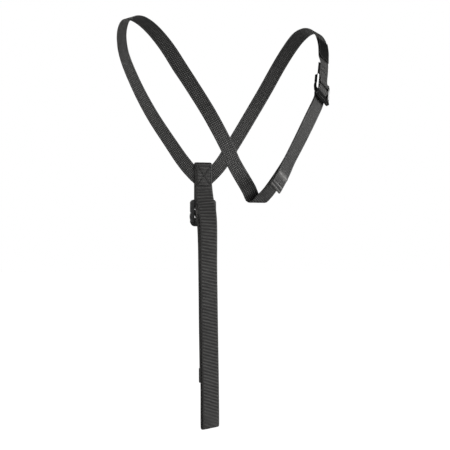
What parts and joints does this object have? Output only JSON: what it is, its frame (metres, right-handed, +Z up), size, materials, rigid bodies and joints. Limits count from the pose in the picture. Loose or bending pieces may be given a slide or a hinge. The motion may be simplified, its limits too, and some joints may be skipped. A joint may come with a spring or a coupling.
{
  "type": "harness shoulder strap",
  "caption": "Black webbing shoulder strap of a work harness, folded at chest and back, with ladder-lock buckles and a long belt loop hanging down the back.",
  "frame": {"origin": "midway between the shoulders, at the height where the webbing rests on them", "axes": "+Z up, -Y towards the wearer's front, +X towards the wearer's left"},
  "size_m": [0.2874, 0.2154, 0.5674],
  "materials": {
    "webbing": "matte woven",
    "moulded": "satin moulded",
    "label": "satin woven"
  },
  "bodies": {
    "root": {"shoulder_strap": "webbing", "back_strap": "webbing", "label": "label", "shoulder_buckle": "moulded", "back_buckle": "moulded"}
  },
  "joints": []
}
